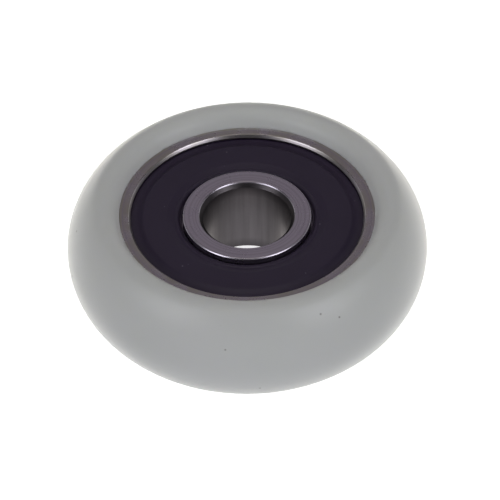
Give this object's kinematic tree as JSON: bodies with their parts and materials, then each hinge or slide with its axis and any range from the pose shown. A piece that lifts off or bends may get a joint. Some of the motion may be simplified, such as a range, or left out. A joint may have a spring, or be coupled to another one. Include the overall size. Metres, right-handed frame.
{
  "type": "cam follower",
  "caption": "Crowned nylon roller moulded round a sealed deep groove ball bearing, free to turn on a stud through its plain bore.",
  "frame": {"origin": "centre of the bearing: on the axis of the bore, halfway between the faces", "axes": "+Z along the axis of the bore; the part is the same either way up; +X passes through the centre of one ball"},
  "size_m": [0.0244, 0.0244, 0.0078],
  "materials": {
    "moulded_nylon": "natural moulded nylon, satin and slightly translucent",
    "ground_bearing_steel": "ground faces and bore, oiled",
    "nitrile_rubber": "moulded black rubber, faint purple cast",
    "pressed_steel": "cold-rolled sheet, as pressed",
    "polished_ball_steel": "lapped to a mirror"
  },
  "bodies": {
    "inner_ring_on_stud": {"inner_ring": "ground_bearing_steel"},
    "roller": {"tyre": "moulded_nylon", "outer_ring": "ground_bearing_steel", "upper_seal_rubber": "nitrile_rubber", "upper_seal_stiffener": "pressed_steel", "lower_seal_rubber": "nitrile_rubber", "lower_seal_stiffener": "pressed_steel"},
    "cage": {"upper_cage_half": "pressed_steel", "lower_cage_half": "pressed_steel", "cage_rivet_1": "pressed_steel", "cage_rivet_2": "pressed_steel", "cage_rivet_3": "pressed_steel", "cage_rivet_4": "pressed_steel", "cage_rivet_5": "pressed_steel", "cage_rivet_6": "pressed_steel"},
    "rolling_ball_1": {"ball_1": "polished_ball_steel"},
    "rolling_ball_2": {"ball_2": "polished_ball_steel"},
    "rolling_ball_3": {"ball_3": "polished_ball_steel"},
    "rolling_ball_4": {"ball_4": "polished_ball_steel"},
    "rolling_ball_5": {"ball_5": "polished_ball_steel"},
    "rolling_ball_6": {"ball_6": "polished_ball_steel"}
  },
  "joints": [
    {"name": "roller_spin", "type": "hinge", "parent": "inner_ring_on_stud", "child": "roller", "pos_m": [0, 0, 0], "axis": [0, 0, 1], "continuous": true},
    {"name": "cage_orbit", "type": "hinge", "parent": "inner_ring_on_stud", "child": "cage", "pos_m": [0, 0, 0], "axis": [0, 0, 1], "continuous": true},
    {"name": "ball_1_roll", "type": "hinge", "parent": "cage", "child": "rolling_ball_1", "pos_m": [0.00625, 0, 0], "axis": [0, 0, 1], "continuous": true},
    {"name": "ball_2_roll", "type": "hinge", "parent": "cage", "child": "rolling_ball_2", "pos_m": [0.00313, 0.00541, 0], "axis": [0, 0, 1], "continuous": true},
    {"name": "ball_3_roll", "type": "hinge", "parent": "cage", "child": "rolling_ball_3", "pos_m": [-0.00313, 0.00541, 0], "axis": [0, 0, 1], "continuous": true},
    {"name": "ball_4_roll", "type": "hinge", "parent": "cage", "child": "rolling_ball_4", "pos_m": [-0.00625, 0, 0], "axis": [0, 0, 1], "continuous": true},
    {"name": "ball_5_roll", "type": "hinge", "parent": "cage", "child": "rolling_ball_5", "pos_m": [-0.00313, -0.00541, 0], "axis": [0, 0, 1], "continuous": true},
    {"name": "ball_6_roll", "type": "hinge", "parent": "cage", "child": "rolling_ball_6", "pos_m": [0.00313, -0.00541, 0], "axis": [0, 0, 1], "continuous": true}
  ],
  "couplings": [
    {"joint": "cage_orbit", "follows": "roller_spin", "ratio": 0.64},
    {"joint": "ball_1_roll", "follows": "roller_spin", "ratio": 1.6457},
    {"joint": "ball_2_roll", "follows": "roller_spin", "ratio": 1.6457},
    {"joint": "ball_3_roll", "follows": "roller_spin", "ratio": 1.6457},
    {"joint": "ball_4_roll", "follows": "roller_spin", "ratio": 1.6457},
    {"joint": "ball_5_roll", "follows": "roller_spin", "ratio": 1.6457},
    {"joint": "ball_6_roll", "follows": "roller_spin", "ratio": 1.6457}
  ]
}
